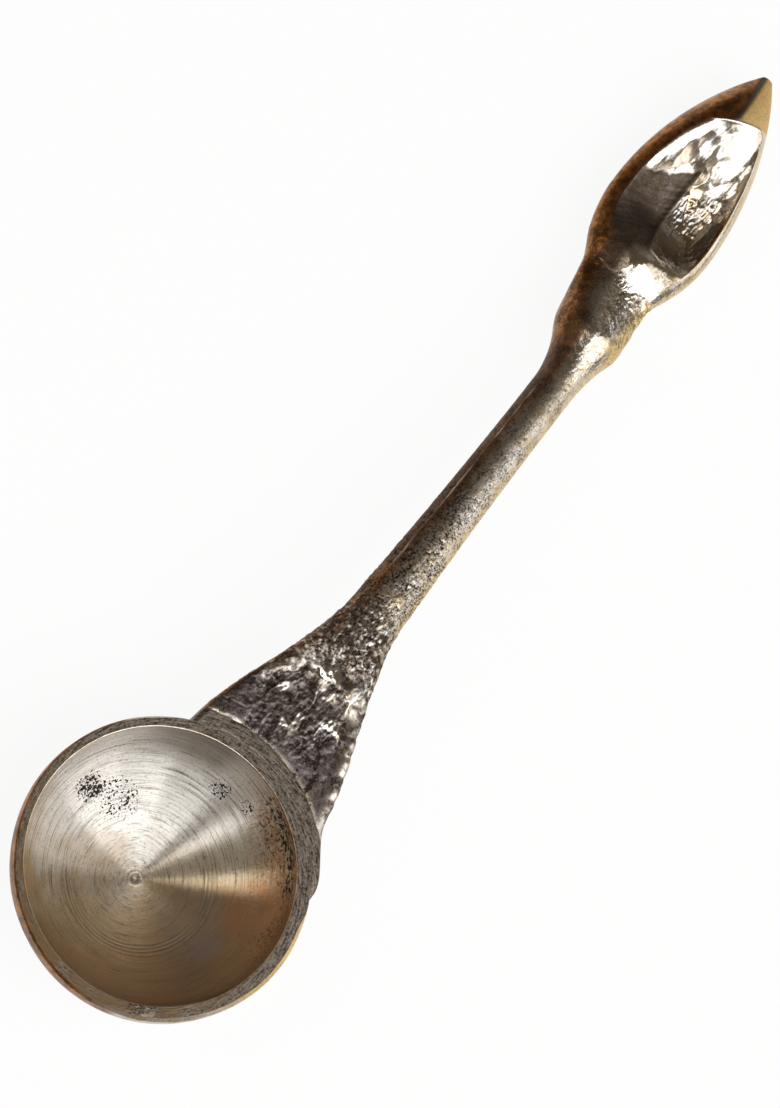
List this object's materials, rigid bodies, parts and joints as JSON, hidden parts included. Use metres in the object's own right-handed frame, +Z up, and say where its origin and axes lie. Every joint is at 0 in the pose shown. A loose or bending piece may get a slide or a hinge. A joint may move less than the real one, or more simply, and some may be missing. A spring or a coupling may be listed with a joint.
{
  "type": "ritual spoon",
  "caption": "Small cast brass ritual spoon with a round turned bowl, a fan shaped palm, a round stem, a calyx and a hollowed leaf end.",
  "frame": {"origin": "on the flat under the bowl, where the axis of the turned hollow meets the surface that the spoon stands on", "axes": "+X along the handle towards the leaf, +Z up out of the bowl's mouth, +Y to the left of the handle"},
  "size_m": [0.1302, 0.032, 0.0134],
  "materials": {
    "turned_brass": "turned and worn, with fine rings",
    "cast_brass": "rough cast, filed and darkened with age"
  },
  "bodies": {
    "root": {"bowl": "turned_brass", "palm": "cast_brass", "stem": "cast_brass", "calyx": "cast_brass", "leaf": "cast_brass"}
  },
  "joints": []
}
